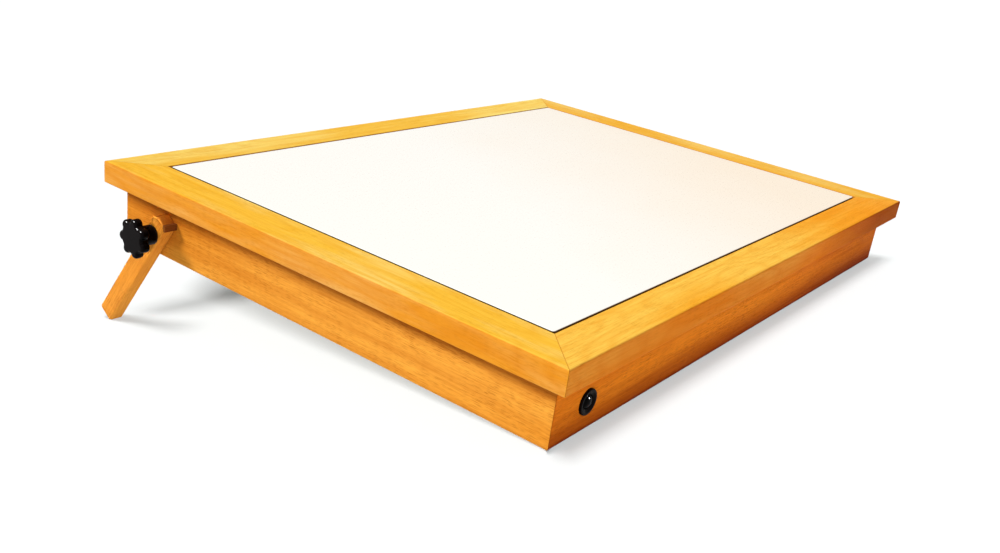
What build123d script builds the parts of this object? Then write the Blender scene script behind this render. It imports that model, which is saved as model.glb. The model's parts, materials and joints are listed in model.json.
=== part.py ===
from build123d import *
import os
from math import cos, radians, sin

# A tabletop light box for tracing. A mitred beech frame holds an opal panel over a shallow beech box
# with rows of LEDs, and two folding legs, clamped by star knobs, hold its rear edge up.
# The box is drawn flat in the board frame: X runs along the front edge, +Y points to the rear, and
# Z = 0 is the box's underside. BOARD carries that frame to the tilted stand on the table, Z = 0.

# Frame and box, in millimetres
FRAME_WIDTH = 680.0
FRAME_DEPTH = 508.0
FRAME_THICKNESS = 20.5
RAIL_WIDTH = 39.0
LEDGE_WIDTH = 8.0
OVERHANG = 14.0
BOX_HEIGHT = 53.0
WALL = 15.0
EASED_EDGE = 1.6
FINE_EDGE = 0.6
GLUE_LINE = 0.2
BOTTOM_ROUND = 4.0

# Panel and base
PANEL_THICKNESS = 5.0
PANEL_GAP = 2.1
PANEL_SINK = 0.1
TAPE_THICKNESS = 0.5
TAPE_WIDTH = 6.0
BASE_THICKNESS = 6.0
BASE_REBATE = 8.0
BASE_GAP = 0.5
REFLECTOR_THICKNESS = 1.0
BUMPER_RADIUS = 6.0
BUMPER_HEIGHT = 2.0
BUMPER_SETBACK = 5.0
BUMPER_PRESS = 0.2

# Lighting
LED_ROWS = 6
LED_ROW_PITCH = 70.0
LEDS_PER_ROW = 14
LED_PITCH = 40.0
LED_BAR = (568.0, 12.0, 1.6)
LED_CHIP = (5.0, 3.0, 1.4)

# Legs, their pivots and knobs
TILT = 9.4
PIVOT_Y = 184.6
PIVOT_Z = 24.9
LEG_SPLAY = 34.7
LEG_WIDTH = 18.4
LEG_THICKNESS = 12.5
LEG_GAP = 0.3
LEG_HEAD = 18.8
LEG_HEAD_CHAMFER = 4.4
HEEL_CHAMFER = 2.0
TOE_TRIM = 1.5
LEG_ROUND = 1.6
BOLT_RADIUS = 3.0
RUNNING_FIT = 0.05
WASHER_THICKNESS = 1.6
WASHER_RADIUS = 8.8
KNOB_RADIUS = 18.0
KNOB_LOBES = 7
LOBE_RADIUS = 4.6
NECK_RADIUS = 9.0
NECK_LENGTH = 11.0
HEAD_LENGTH = 8.5
HEAD_ROUND = 2.6
KNOB_PHASE = -8.0
THREAD_LENGTH = 12.0

# Button and power inlet, both set half way up the box
BUTTON_X = -283.0
BUTTON_Z = 25.0
BEZEL_RADIUS = 10.2
BARREL_RADIUS = 9.0
CAP_RADIUS = 5.8
INLET_X = -250.0
INLET_RADIUS = 5.5

BOX_WIDTH = FRAME_WIDTH - 2 * OVERHANG
BOX_DEPTH = FRAME_DEPTH - 2 * OVERHANG
INNER_WIDTH = BOX_WIDTH - 2 * WALL
INNER_DEPTH = BOX_DEPTH - 2 * WALL
TOP = BOX_HEIGHT + FRAME_THICKNESS
LEDGE_TOP = TOP - PANEL_SINK - PANEL_THICKNESS - TAPE_THICKNESS
REFLECTOR_TOP = BASE_THICKNESS + REFLECTOR_THICKNESS
LEG_FACE = LEG_GAP + LEG_THICKNESS


def reach(y, z):
    """The level distance rearward of a point of the board once the board is tilted."""
    return y * cos(radians(TILT)) - z * sin(radians(TILT))


def rise(y, z):
    """The height gained by a point of the board once the board is tilted."""
    return y * sin(radians(TILT)) + z * cos(radians(TILT))


# The front bumpers' front edges and the legs' toes stand on the table. Half-way between the frame's
# front edge and the legs' heels is Y = 0.
LEAN = radians(LEG_SPLAY + TILT)
LIFT = -rise(BUMPER_SETBACK - BOX_DEPTH / 2, -BUMPER_HEIGHT) - BUMPER_PRESS
PIVOT_HEIGHT = LIFT + rise(PIVOT_Y, PIVOT_Z)
LEG_REACH = (PIVOT_HEIGHT + TOE_TRIM - LEG_WIDTH / 2 * sin(LEAN)) / cos(LEAN)
HEEL = (LEG_REACH - HEEL_CHAMFER) * sin(LEAN) + LEG_WIDTH / 2 * cos(LEAN)
REAR = reach(PIVOT_Y, PIVOT_Z) + HEEL
FRONT = reach(EASED_EDGE - FRAME_DEPTH / 2, TOP - EASED_EDGE) - EASED_EDGE
SHIFT = -(REAR + FRONT) / 2

TABLE = Plane.XY
BOARD = Plane(
    origin=(0, SHIFT, LIFT),
    x_dir=(1, 0, 0),
    z_dir=(0, -sin(radians(TILT)), cos(radians(TILT))),
)
# Each side's frame is the board's, turned so that its +Y points out of that side.
SIDES = {"front": 180, "right": -90, "rear": 0, "left": 90}
HANDS = {"left": -1, "right": 1}
CORNERS = [("front_left", -1, -1), ("front_right", 1, -1), ("rear_left", -1, 1), ("rear_right", 1, 1)]
BUTTON = BOARD.moved(Plane((BUTTON_X, -BOX_DEPTH / 2, BUTTON_Z), x_dir=(1, 0, 0), z_dir=(0, -1, 0)))
INLET = BOARD.moved(Plane((INLET_X, BOX_DEPTH / 2, BUTTON_Z), x_dir=(-1, 0, 0), z_dir=(0, 1, 0)))


def side_plane(side):
    """The plan of one side: local Y points out of the box and local Z is the board's normal."""
    return BOARD.moved(Location((0, 0, 0), (0, 0, SIDES[side])))


def section_plane(side):
    """The cross-section of one side: local X points out of the box and local Y up."""
    return side_plane(side).moved(Plane.YZ)


def half_sizes(side, width, depth):
    """Half the outward extent and half the length of one side of a width by depth rectangle."""
    return (depth / 2, width / 2) if side in ("front", "rear") else (width / 2, depth / 2)


def pivot_plane(hand):
    """A plane on the box's side face, centred on the leg's pivot and facing out."""
    sign = HANDS[hand]
    origin = (sign * BOX_WIDTH / 2, PIVOT_Y, PIVOT_Z)
    return BOARD.moved(Plane(origin, x_dir=(0, 0, 1), z_dir=(sign, 0, 0)))


def turning(plane):
    """The axis through a plane's origin along its normal."""
    return Axis(plane.origin, plane.z_dir)


def mitre_outline(out, along, width):
    """Plan of a mitred piece that runs along X, with its outer edge at Y = out."""
    end = along - GLUE_LINE
    Polygon((-end, out), (end, out), (end - width, out - width), (width - end, out - width), align=None)


def wood_screw(head_radius, radius, length):
    """A countersunk screw with a cross recess, its head at the origin and its point up."""
    neck = head_radius - radius
    with BuildPart() as screw:
        with BuildSketch(Plane.XZ):
            outline = [(0, 0), (head_radius, 0), (radius, neck), (radius, length - 2 * radius), (0, length)]
            Polygon(*outline, align=None)
        revolve(axis=Axis.Z)
        with BuildSketch():
            Rectangle(1.2 * head_radius, 0.3 * head_radius)
            Rectangle(0.3 * head_radius, 1.2 * head_radius)
        extrude(amount=0.6 * neck, mode=Mode.SUBTRACT)
    return screw.part


def wire(points, radii, radius):
    """A round wire along straight runs joined by arcs, with its points in the board frame."""
    with BuildPart() as run:
        with BuildLine(BOARD) as path:
            FilletPolyline(*points, radius=radii)
        with BuildSketch(Plane(path.line @ 0, z_dir=path.line % 0)):
            Circle(radius)
        sweep()
    return run.part


# Where the fasteners go, in the board frame
BASE_WIDTH = BOX_WIDTH - 2 * (WALL - BASE_REBATE + BASE_GAP)
BASE_DEPTH = BOX_DEPTH - 2 * (WALL - BASE_REBATE + BASE_GAP)
SCREW_INSET = 4.0
BASE_SCREW = (3.2, 1.6, 18.0)
BASE_SCREW_XS = (-240.0, -80.0, 80.0, 240.0)
BASE_SCREW_YS = (-120.0, 0.0, 120.0)
FRAME_SCREW = (3.6, 2.0, 56.0)
FRAME_SCREW_Z = 9.0
FRAME_SCREW_INSET = 4.6
BLOCK_SIZE = 15.0
base_screw_spots = [
    (x, sign * (BASE_DEPTH / 2 - SCREW_INSET)) for x in BASE_SCREW_XS for sign in (-1, 1)
] + [(sign * (BASE_WIDTH / 2 - SCREW_INSET), y) for y in BASE_SCREW_YS for sign in (-1, 1)]
frame_screw_spots = [
    (sx * (INNER_WIDTH / 2 - FRAME_SCREW_INSET), sy * (INNER_DEPTH / 2 - FRAME_SCREW_INSET))
    for _, sx, sy in CORNERS
]

# Biscuits that key the frame's mitres together
BISCUIT = (38.0, 16.0, 4.0)
BISCUIT_Z = BOX_HEIGHT + 4.0
BISCUIT_INSET = (RAIL_WIDTH + LEDGE_WIDTH) / 2 - 1.5
biscuit_spots = [
    Location((sx * (FRAME_WIDTH / 2 - BISCUIT_INSET), sy * (FRAME_DEPTH / 2 - BISCUIT_INSET)), -45 * sx * sy)
    for _, sx, sy in CORNERS
]

# Top frame: four rebated rails, mitred at the corners
for side in SIDES:
    out, along = half_sizes(side, FRAME_WIDTH, FRAME_DEPTH)
    inner = out - RAIL_WIDTH - LEDGE_WIDTH
    with BuildPart() as top_rail:
        with BuildSketch(section_plane(side)) as section:
            Polygon(
                (inner, BOX_HEIGHT),
                (out, BOX_HEIGHT),
                (out, TOP),
                (out - RAIL_WIDTH, TOP),
                (out - RAIL_WIDTH, LEDGE_TOP),
                (inner, LEDGE_TOP),
                align=None,
            )
            fillet(section.vertices().group_by(Axis.X)[-1], radius=EASED_EDGE)
            fillet(section.vertices().group_by(Axis.Y)[-1].sort_by(Axis.X)[0], radius=FINE_EDGE)
        extrude(amount=along, both=True)
        with BuildSketch(side_plane(side)):
            mitre_outline(out, along, RAIL_WIDTH + LEDGE_WIDTH)
        extrude(amount=TOP, mode=Mode.INTERSECT)
        with BuildSketch(BOARD.offset(BISCUIT_Z - GLUE_LINE)):
            with Locations(*biscuit_spots):
                SlotOverall(BISCUIT[0] + 2 * GLUE_LINE, BISCUIT[1] + 2 * GLUE_LINE)
        extrude(amount=BISCUIT[2] + 2 * GLUE_LINE, mode=Mode.SUBTRACT)
        with BuildSketch(BOARD.offset(BOX_HEIGHT)):
            with Locations(*frame_screw_spots):
                Circle(FRAME_SCREW[1] + RUNNING_FIT)
        extrude(amount=FRAME_SCREW_Z + FRAME_SCREW[2] - BOX_HEIGHT + 1, mode=Mode.SUBTRACT)
    top_rail.part.label = f"top_{side}_rail"
    export_step(top_rail.part, f"parts/{top_rail.part.label}.step")

with BuildPart() as mitre_biscuits:
    with BuildSketch(BOARD.offset(BISCUIT_Z)):
        with Locations(*biscuit_spots):
            SlotOverall(BISCUIT[0], BISCUIT[1])
    extrude(amount=BISCUIT[2])
mitre_biscuits.part.label = "mitre_biscuits"
export_step(mitre_biscuits.part, "parts/mitre_biscuits.step")

# Opal panel, bedded in the frame's rebate on strips of tape
PANEL_WIDTH = FRAME_WIDTH - 2 * (RAIL_WIDTH + PANEL_GAP)
PANEL_DEPTH = FRAME_DEPTH - 2 * (RAIL_WIDTH + PANEL_GAP)
with BuildPart() as opal_panel:
    with BuildSketch(BOARD.offset(LEDGE_TOP + TAPE_THICKNESS)):
        RectangleRounded(PANEL_WIDTH, PANEL_DEPTH, PANEL_GAP)
    extrude(amount=PANEL_THICKNESS)
    fillet(opal_panel.faces().sort_by(turning(BOARD))[-1].edges(), radius=FINE_EDGE)
opal_panel.part.label = "opal_panel"
export_step(opal_panel.part, "parts/opal_panel.step")

with BuildPart() as panel_tape:
    with BuildSketch(BOARD.offset(LEDGE_TOP)):
        with GridLocations(0, PANEL_DEPTH - TAPE_WIDTH, 1, 2):
            Rectangle(PANEL_WIDTH - 4 * TAPE_WIDTH, TAPE_WIDTH)
        with GridLocations(PANEL_WIDTH - TAPE_WIDTH, 0, 2, 1):
            Rectangle(TAPE_WIDTH, PANEL_DEPTH - 4 * TAPE_WIDTH)
    extrude(amount=TAPE_THICKNESS)
panel_tape.part.label = "panel_tape"
export_step(panel_tape.part, "parts/panel_tape.step")

# Box: four rebated boards, mitred at the corners, bored for the pivots, the button and the inlet
BEZEL_SEAT = 0.6
HOLE_EASE = 0.8
for side in SIDES:
    out, along = half_sizes(side, BOX_WIDTH, BOX_DEPTH)
    inner = out - WALL
    with BuildPart() as box_board:
        with BuildSketch(section_plane(side)) as section:
            Polygon(
                (inner, BASE_THICKNESS),
                (inner + BASE_REBATE, BASE_THICKNESS),
                (inner + BASE_REBATE, 0),
                (out, 0),
                (out, BOX_HEIGHT),
                (inner, BOX_HEIGHT),
                align=None,
            )
            fillet(section.vertices().group_by(Axis.X)[-1].sort_by(Axis.Y)[0], radius=BOTTOM_ROUND)
        extrude(amount=along, both=True)
        with BuildSketch(side_plane(side)):
            mitre_outline(out, along, WALL)
        extrude(amount=BOX_HEIGHT, mode=Mode.INTERSECT)
        with BuildSketch(BOARD.offset(BASE_THICKNESS)):
            with Locations(*base_screw_spots):
                Circle(BASE_SCREW[1] + RUNNING_FIT)
        extrude(amount=BASE_SCREW[2] - BASE_THICKNESS + 1, mode=Mode.SUBTRACT)
        if side in HANDS:
            pivot = pivot_plane(side)
            with BuildSketch(pivot):
                Circle(BOLT_RADIUS + RUNNING_FIT)
            extrude(amount=-WALL, mode=Mode.SUBTRACT)
            with BuildSketch(pivot.offset(-WALL)):
                Rectangle(2 * (BOLT_RADIUS + RUNNING_FIT), 2 * (BOLT_RADIUS + RUNNING_FIT))
            extrude(amount=WALL / 4, mode=Mode.SUBTRACT)
        if side == "front":
            with BuildSketch(BUTTON.moved(Plane.XZ)):
                Polygon(
                    (0, 0),
                    (BEZEL_RADIUS + HOLE_EASE, 0),
                    (BEZEL_RADIUS + RUNNING_FIT, -BEZEL_SEAT),
                    (BARREL_RADIUS + RUNNING_FIT, -BEZEL_SEAT),
                    (BARREL_RADIUS + RUNNING_FIT, -WALL),
                    (0, -WALL),
                    align=None,
                )
            revolve(axis=turning(BUTTON), mode=Mode.SUBTRACT)
        if side == "rear":
            with BuildSketch(INLET):
                Circle(INLET_RADIUS + RUNNING_FIT)
            extrude(amount=-WALL, mode=Mode.SUBTRACT)
    box_board.part.label = f"box_{side}_board"
    export_step(box_board.part, f"parts/{box_board.part.label}.step")

# Corner blocks, glued inside the box and screwed up into the frame
for corner, sx, sy in CORNERS:
    cx = sx * INNER_WIDTH / 2
    cy = sy * INNER_DEPTH / 2
    with BuildPart() as corner_block:
        with BuildSketch(BOARD.offset(BASE_THICKNESS)):
            Polygon((cx, cy), (cx - sx * BLOCK_SIZE, cy), (cx, cy - sy * BLOCK_SIZE), align=None)
        extrude(amount=BOX_HEIGHT - BASE_THICKNESS)
        with BuildSketch(BOARD.offset(BASE_THICKNESS)):
            with Locations(*frame_screw_spots):
                Circle(FRAME_SCREW[1] + RUNNING_FIT)
        extrude(amount=BOX_HEIGHT, mode=Mode.SUBTRACT)
        with BuildSketch(BOARD.offset(BASE_THICKNESS)):
            with Locations(*frame_screw_spots):
                Circle(FRAME_SCREW[0] + RUNNING_FIT)
        extrude(
            amount=FRAME_SCREW_Z + FRAME_SCREW[0] - FRAME_SCREW[1] - BASE_THICKNESS,
            mode=Mode.SUBTRACT,
        )
    corner_block.part.label = f"corner_block_{corner}"
    export_step(corner_block.part, f"parts/{corner_block.part.label}.step")

with BuildPart(BOARD) as frame_screws:
    with Locations(*[(x, y, FRAME_SCREW_Z) for x, y in frame_screw_spots]):
        add(wood_screw(*FRAME_SCREW))
frame_screws.part.label = "frame_screws"
export_step(frame_screws.part, "parts/frame_screws.step")

# Plywood base, screwed into the rebate from below, with four rubber bumpers
DIMMER_X = -215.0
DIMMER_Y = -203.0
DIMMER = (84.0, 32.0, 1.6)
SPACER_HEIGHT = 4.0
SPACER_RADIUS = 2.8
DIMMER_SCREW_RADIUS = 1.25
DIMMER_SCREW_LENGTH = 9.0
DIMMER_SCREW_INSET = 4.0
dimmer_screw_spots = [
    (
        DIMMER_X + sx * (DIMMER[0] / 2 - DIMMER_SCREW_INSET),
        DIMMER_Y + sy * (DIMMER[1] / 2 - DIMMER_SCREW_INSET),
    )
    for _, sx, sy in CORNERS
]
with BuildPart(BOARD) as base_board:
    with BuildSketch(BOARD):
        Rectangle(BASE_WIDTH, BASE_DEPTH)
        with Locations(*dimmer_screw_spots):
            Circle(DIMMER_SCREW_RADIUS + RUNNING_FIT, mode=Mode.SUBTRACT)
    extrude(amount=BASE_THICKNESS)
    with Locations(*[Location((x, y, 0), (180, 0, 0)) for x, y in base_screw_spots]):
        CounterSinkHole(BASE_SCREW[1] + RUNNING_FIT, BASE_SCREW[0] + 2 * RUNNING_FIT, BASE_THICKNESS)
base_board.part.label = "base_board"
export_step(base_board.part, "parts/base_board.step")

with BuildPart(BOARD) as base_screws:
    with Locations(*[(x, y, 0) for x, y in base_screw_spots]):
        add(wood_screw(*BASE_SCREW))
base_screws.part.label = "base_screws"
export_step(base_screws.part, "parts/base_screws.step")

with BuildPart() as rubber_bumpers:
    with BuildSketch(BOARD):
        bumper_inset = 2 * (BUMPER_SETBACK + BUMPER_RADIUS)
        with GridLocations(BOX_WIDTH - 2 * bumper_inset, BOX_DEPTH - bumper_inset, 2, 2):
            Circle(BUMPER_RADIUS)
    extrude(amount=-BUMPER_HEIGHT)
    split(bisect_by=TABLE)
rubber_bumpers.part.label = "rubber_bumpers"
export_step(rubber_bumpers.part, "parts/rubber_bumpers.step")

# White reflector on the base, with the LED bars and the dimmer standing on it
with BuildPart() as reflector_sheet:
    with BuildSketch(BOARD.offset(BASE_THICKNESS)) as sheet:
        Rectangle(INNER_WIDTH - 2 * BASE_GAP, INNER_DEPTH - 2 * BASE_GAP)
        chamfer(sheet.vertices(), length=BLOCK_SIZE + 1)
        with Locations(*dimmer_screw_spots):
            Circle(DIMMER_SCREW_RADIUS + RUNNING_FIT, mode=Mode.SUBTRACT)
    extrude(amount=REFLECTOR_THICKNESS)
reflector_sheet.part.label = "reflector_sheet"
export_step(reflector_sheet.part, "parts/reflector_sheet.step")

led_row_places = [LED_ROW_PITCH * (row - (LED_ROWS - 1) / 2) for row in range(LED_ROWS)]
for row, y in enumerate(led_row_places, start=1):
    with BuildPart() as led_bar:
        with BuildSketch(BOARD.offset(REFLECTOR_TOP)):
            with Locations((0, y)):
                Rectangle(LED_BAR[0], LED_BAR[1])
        extrude(amount=LED_BAR[2])
    led_bar.part.label = f"led_bar_{row}"
    export_step(led_bar.part, f"parts/{led_bar.part.label}.step")

with BuildPart() as led_chips:
    with BuildSketch(BOARD.offset(REFLECTOR_TOP + LED_BAR[2])):
        with GridLocations(LED_PITCH, LED_ROW_PITCH, LEDS_PER_ROW, LED_ROWS):
            Rectangle(LED_CHIP[0], LED_CHIP[1])
    extrude(amount=LED_CHIP[2])
led_chips.part.label = "led_chips"
export_step(led_chips.part, "parts/led_chips.step")

DIMMER_Z = REFLECTOR_TOP + SPACER_HEIGHT
with BuildPart() as dimmer_board:
    with BuildSketch(BOARD.offset(DIMMER_Z)):
        with Locations((DIMMER_X, DIMMER_Y)):
            RectangleRounded(DIMMER[0], DIMMER[1], DIMMER[2])
        with Locations(*dimmer_screw_spots):
            Circle(DIMMER_SCREW_RADIUS + RUNNING_FIT, mode=Mode.SUBTRACT)
    extrude(amount=DIMMER[2])
dimmer_board.part.label = "dimmer_board"
export_step(dimmer_board.part, "parts/dimmer_board.step")

# The tall parts on the dimmer: a coil, two capacitors, a driver chip and a terminal block at each end
COIL = (13.0, 13.0, 6.0)
COIL_CORNER = 3.0
COIL_X = DIMMER_X - 12.0
CAPACITOR_RADIUS = 4.0
CAPACITOR_HEIGHT = 10.0
CAPACITOR_X = DIMMER_X + 6.0
CAPACITOR_PITCH = 12.0
CHIP = (6.0, 9.0, 1.6)
CHIP_X = DIMMER_X + 20.0
TERMINAL_BLOCK = (8.0, 15.0, 9.0)
TERMINAL_BLOCK_OFFSET = 31.0
dimmer_top = BOARD.offset(DIMMER_Z + DIMMER[2])
with BuildPart() as dimmer_parts:
    with BuildSketch(dimmer_top):
        with Locations((COIL_X, DIMMER_Y)):
            RectangleRounded(COIL[0], COIL[1], COIL_CORNER)
    extrude(amount=COIL[2])
    with BuildSketch(dimmer_top):
        with Locations((CAPACITOR_X, DIMMER_Y)):
            with GridLocations(1, CAPACITOR_PITCH, 1, 2):
                Circle(CAPACITOR_RADIUS)
    extrude(amount=CAPACITOR_HEIGHT)
    with BuildSketch(dimmer_top):
        with Locations((CHIP_X, DIMMER_Y)):
            Rectangle(CHIP[0], CHIP[1])
    extrude(amount=CHIP[2])
    with BuildSketch(dimmer_top):
        with Locations((DIMMER_X, DIMMER_Y)):
            with GridLocations(2 * TERMINAL_BLOCK_OFFSET, 1, 2, 1):
                Rectangle(TERMINAL_BLOCK[0], TERMINAL_BLOCK[1])
    extrude(amount=TERMINAL_BLOCK[2])
dimmer_parts.part.label = "dimmer_parts"
export_step(dimmer_parts.part, "parts/dimmer_parts.step")

with BuildPart() as dimmer_spacers:
    with BuildSketch(BOARD.offset(REFLECTOR_TOP)):
        with Locations(*dimmer_screw_spots):
            Circle(SPACER_RADIUS)
            Circle(DIMMER_SCREW_RADIUS + RUNNING_FIT, mode=Mode.SUBTRACT)
    extrude(amount=SPACER_HEIGHT)
dimmer_spacers.part.label = "dimmer_spacers"
export_step(dimmer_spacers.part, "parts/dimmer_spacers.step")

with BuildPart() as dimmer_screws:
    with BuildSketch(dimmer_top):
        with Locations(*dimmer_screw_spots):
            Circle(2 * DIMMER_SCREW_RADIUS)
    extrude(amount=DIMMER_SCREW_RADIUS)
    with BuildSketch(dimmer_top):
        with Locations(*dimmer_screw_spots):
            Circle(DIMMER_SCREW_RADIUS)
    extrude(amount=-DIMMER_SCREW_LENGTH)
dimmer_screws.part.label = "dimmer_screws"
export_step(dimmer_screws.part, "parts/dimmer_screws.step")

# Links from bar to bar along both ends: one conductor at each end
LINK_RADIUS = 1.0
LINK_INSET = 8.0
with BuildPart() as led_links:
    for sign in (-1, 1):
        for y in led_row_places[:-1]:
            start = (sign * (LED_BAR[0] / 2 - LINK_INSET), y + LED_BAR[1] / 2, REFLECTOR_TOP + LINK_RADIUS)
            with BuildSketch(BOARD.moved(Plane(start, x_dir=(1, 0, 0), z_dir=(0, 1, 0)))):
                Circle(LINK_RADIUS)
            extrude(amount=LED_ROW_PITCH - LED_BAR[1])
led_links.part.label = "led_links"
export_step(led_links.part, "parts/led_links.step")

# Push button: bezel through the front board, held by a nut, with the switch behind it
BARREL_LENGTH = 24.0
BEZEL_PROUD = 1.6
BEZEL_LIP = 1.9
BEZEL_ROUND = 0.7
CAP_SKIRT = 8.0
CAP_CROWN = 2.4
CAP_EDGE = 0.4
STEM_RADIUS = 2.0
STEM_END = 20.0
with BuildPart() as button_bezel:
    with BuildSketch(BUTTON.moved(Plane.XZ)) as ring:
        Polygon(
            (CAP_RADIUS, -BARREL_LENGTH),
            (BARREL_RADIUS, -BARREL_LENGTH),
            (BARREL_RADIUS, -BEZEL_SEAT),
            (BEZEL_RADIUS, -BEZEL_SEAT),
            (BEZEL_RADIUS, BEZEL_PROUD),
            (BEZEL_RADIUS - BEZEL_LIP, BEZEL_PROUD),
            (CAP_RADIUS, CAP_EDGE),
            align=None,
        )
        fillet(ring.vertices().group_by(Axis.Y)[-1], radius=BEZEL_ROUND)
    revolve(axis=turning(BUTTON))
button_bezel.part.label = "button_bezel"
export_step(button_bezel.part, "parts/button_bezel.step")

with BuildPart() as button_cap:
    with BuildSketch(BUTTON.moved(Plane.XZ)):
        with BuildLine():
            cap_edge = CAP_RADIUS - 1.5 * RUNNING_FIT
            Polyline(
                (0, CAP_CROWN),
                (0, -STEM_END),
                (STEM_RADIUS, -STEM_END),
                (STEM_RADIUS, -CAP_SKIRT),
                (cap_edge, -CAP_SKIRT),
                (cap_edge, -CAP_EDGE),
            )
            TangentArc((0, CAP_CROWN), (cap_edge, -CAP_EDGE), tangent=(1, 0))
        make_face()
    revolve(axis=turning(BUTTON))
button_cap.part.label = "button_cap"
export_step(button_cap.part, "parts/button_cap.step")

NUT_THICKNESS = 3.0
BUTTON_NUT_RADIUS = 10.4
with BuildPart() as button_nut:
    with BuildSketch(BUTTON.offset(-WALL)):
        RegularPolygon(radius=BUTTON_NUT_RADIUS, side_count=6, major_radius=False)
        Circle(BARREL_RADIUS + RUNNING_FIT, mode=Mode.SUBTRACT)
    extrude(amount=-NUT_THICKNESS)
button_nut.part.label = "button_nut"
export_step(button_nut.part, "parts/button_nut.step")

SWITCH_LENGTH = 13.0
TERMINAL_LENGTH = 5.0
TERMINAL = (0.8, 4.0)
TERMINAL_PITCH = 8.0
with BuildPart() as switch_body:
    with BuildSketch(BUTTON.offset(-BARREL_LENGTH)):
        Circle(BARREL_RADIUS)
    extrude(amount=-SWITCH_LENGTH)
    with BuildSketch(BUTTON.offset(-BARREL_LENGTH - SWITCH_LENGTH)):
        with GridLocations(TERMINAL_PITCH, 0, 2, 1):
            Rectangle(TERMINAL[0], TERMINAL[1])
    extrude(amount=-TERMINAL_LENGTH)
switch_body.part.label = "switch_body"
export_step(switch_body.part, "parts/switch_body.step")

# Power inlet through the rear board: shell with a 6 mm socket, centre pin and terminals, and nut
SOCKET_RADIUS = 3.1
SOCKET_DEPTH = 11.0
PIN_RADIUS = 1.0
FLANGE_THICKNESS = 1.5
FLANGE_WIDTH = 1.5
INLET_TAB = (0.8, 2.5)
INLET_TAB_PITCH = 6.0
INLET_NUT_RADIUS = 7.0
with BuildPart() as inlet_shell:
    with BuildSketch(INLET.moved(Plane.XZ)):
        Polygon(
            (0, -BARREL_LENGTH),
            (INLET_RADIUS, -BARREL_LENGTH),
            (INLET_RADIUS, 0),
            (INLET_RADIUS + FLANGE_WIDTH, 0),
            (INLET_RADIUS + FLANGE_WIDTH, FLANGE_THICKNESS),
            (SOCKET_RADIUS, FLANGE_THICKNESS),
            (SOCKET_RADIUS, -SOCKET_DEPTH),
            (0, -SOCKET_DEPTH),
            align=None,
        )
    revolve(axis=turning(INLET))
inlet_shell.part.label = "inlet_shell"
export_step(inlet_shell.part, "parts/inlet_shell.step")

with BuildPart() as inlet_contacts:
    with BuildSketch(INLET.offset(-SOCKET_DEPTH)):
        Circle(PIN_RADIUS)
    extrude(amount=SOCKET_DEPTH - 1)
    with BuildSketch(INLET.offset(-BARREL_LENGTH)):
        with GridLocations(INLET_TAB_PITCH, 0, 2, 1):
            Rectangle(INLET_TAB[0], INLET_TAB[1])
    extrude(amount=-TERMINAL_LENGTH)
inlet_contacts.part.label = "inlet_contacts"
export_step(inlet_contacts.part, "parts/inlet_contacts.step")

with BuildPart() as inlet_nut:
    with BuildSketch(INLET.offset(-WALL)):
        RegularPolygon(radius=INLET_NUT_RADIUS, side_count=6, major_radius=False)
        Circle(INLET_RADIUS + RUNNING_FIT, mode=Mode.SUBTRACT)
    extrude(amount=-NUT_THICKNESS)
inlet_nut.part.label = "inlet_nut"
export_step(inlet_nut.part, "parts/inlet_nut.step")

# Wiring: inlet to dimmer along the left wall, switch to dimmer, and dimmer to the first LED bar
CABLE_RADIUS = 1.6
LEAD_RADIUS = 1.0
inlet_end = BOX_DEPTH / 2 - BARREL_LENGTH - TERMINAL_LENGTH
switch_end = -BOX_DEPTH / 2 + BARREL_LENGTH + SWITCH_LENGTH + TERMINAL_LENGTH
block_reach = TERMINAL_BLOCK_OFFSET + TERMINAL_BLOCK[0] / 2
block_end = DIMMER_X - block_reach
supply_route = [
    (INLET_X, inlet_end, BUTTON_Z),
    (INLET_X - 6, inlet_end - 18, 20),
    (INLET_X - 30, inlet_end - 38, 11),
    (-299, inlet_end - 80, 10),
    (-300, 40, 10),
    (-299, -60, 10),
    (-299, -150, 10),
    (-284, -182, 11),
    (-266, -196, 15),
    (block_end, DIMMER_Y + 3, 18),
]
switch_route = [
    (BUTTON_X + 4, switch_end, BUTTON_Z),
    (BUTTON_X + 5, switch_end + 8, BUTTON_Z - 1),
    (BUTTON_X + 14, switch_end + 10, BUTTON_Z - 3),
    (block_end - 6, DIMMER_Y - 1, 19),
    (block_end, DIMMER_Y - 3, 18),
]
lamp_route = [
    (DIMMER_X + block_reach, DIMMER_Y, 18),
    (DIMMER_X + 44, DIMMER_Y + 2, 17),
    (DIMMER_X + 52, DIMMER_Y + 10, 13),
    (DIMMER_X + 53, led_row_places[0] - LED_BAR[1] / 2, REFLECTOR_TOP + LEAD_RADIUS),
]
with BuildPart() as supply_cable:
    add(wire(supply_route, [9, 12, 16, 24, 30, 24, 14, 10], CABLE_RADIUS))
supply_cable.part.label = "supply_cable"
export_step(supply_cable.part, "parts/supply_cable.step")

with BuildPart() as switch_lead:
    add(wire(switch_route, [4, 4, 4], LEAD_RADIUS))
switch_lead.part.label = "switch_lead"
export_step(switch_lead.part, "parts/switch_lead.step")

with BuildPart() as lamp_lead:
    add(wire(lamp_route, [5, 5], LEAD_RADIUS))
lamp_lead.part.label = "lamp_lead"
export_step(lamp_lead.part, "parts/lamp_lead.step")

# Leg stops: hardwood blocks on the box's sides that the legs' chamfered heads bear against
STOP_BOTTOM = 32.1
STOP_TOP = 37.8
STOP_LENGTH = 12.6
STOP_DEPTH = 2.3
STOP_CLEARANCE = 0.15
slope = radians(LEG_SPLAY)
CHAMFER_LEAN = radians(45.0 - LEG_SPLAY)
CORNER_UP = LEG_HEAD - LEG_HEAD_CHAMFER
CORNER_Y = PIVOT_Y - CORNER_UP * sin(slope) - LEG_WIDTH / 2 * cos(slope)
CORNER_Z = PIVOT_Z + CORNER_UP * cos(slope) - LEG_WIDTH / 2 * sin(slope)


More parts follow.
